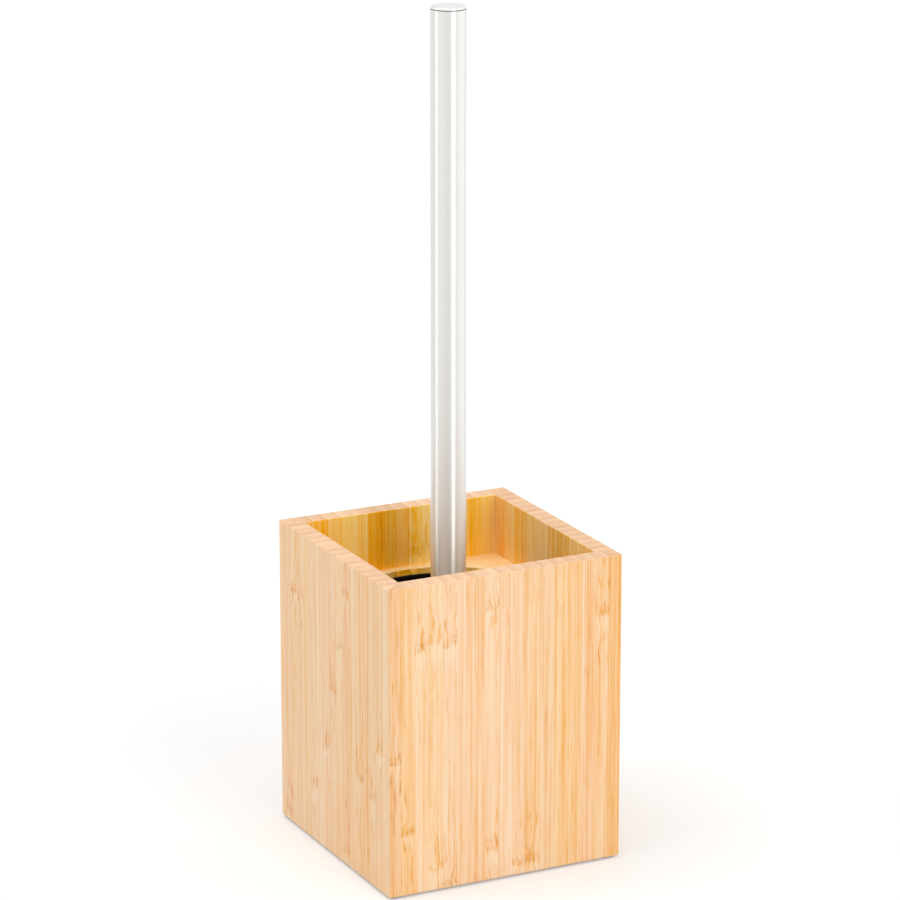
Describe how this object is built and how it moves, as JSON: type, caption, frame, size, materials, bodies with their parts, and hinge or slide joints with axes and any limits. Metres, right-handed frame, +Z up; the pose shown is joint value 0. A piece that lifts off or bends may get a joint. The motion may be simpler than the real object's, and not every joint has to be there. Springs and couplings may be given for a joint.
{
  "type": "toilet brush holder",
  "caption": "Square bamboo box with a recessed shelf and a lift-out black liner cup, holding a toilet brush with a straight round steel handle that unscrews from its head.",
  "frame": {"origin": "on the floor, under the middle of the square box", "axes": "+X to the right along the front panel, +Y from the front panel to the back, +Z up along the handle"},
  "size_m": [0.12, 0.12, 0.4012],
  "materials": {
    "bamboo": "strip-laminated, sanded, thin matt lacquer",
    "foot": "moulded silicone",
    "liner": "injection-moulded polypropylene",
    "handle": "stainless, finely brushed",
    "fitting": "turned",
    "core": "moulded polypropylene",
    "bristle": "extruded nylon filament"
  },
  "bodies": {
    "holder": {"front_panel": "bamboo", "right_panel": "bamboo", "back_panel": "bamboo", "left_panel": "bamboo", "shelf_panel": "bamboo", "base_panel": "bamboo", "foot_pad_front_left": "foot", "foot_pad_front_right": "foot", "foot_pad_back_left": "foot", "foot_pad_back_right": "foot"},
    "liner": {"liner_cup": "liner"},
    "head": {"brush_core": "core", "side_bristles": "bristle", "tip_bristles": "bristle"},
    "stud": {"head_stud": "fitting"},
    "handle": {"handle_tube": "handle", "handle_cap": "handle", "handle_insert": "fitting"}
  },
  "joints": [
    {"name": "liner_lift", "type": "slide", "parent": "holder", "child": "liner", "axis": [0, 0, 1], "range_m": [0, 0.145]},
    {"name": "brush_lift", "type": "slide", "parent": "liner", "child": "head", "axis": [0, 0, 1], "range_m": [0, 0.145]},
    {"name": "handle_unscrew", "type": "hinge", "parent": "head", "child": "stud", "pos_m": [0, 0, 0.1077], "axis": [0, 0, 1], "range_deg": [0, 3600]},
    {"name": "handle_rise", "type": "slide", "parent": "stud", "child": "handle", "axis": [0, 0, 1], "range_m": [0, 0.0125]}
  ],
  "couplings": [
    {"joint": "handle_rise", "follows": "handle_unscrew", "m_per_rad": 0.00019894}
  ]
}
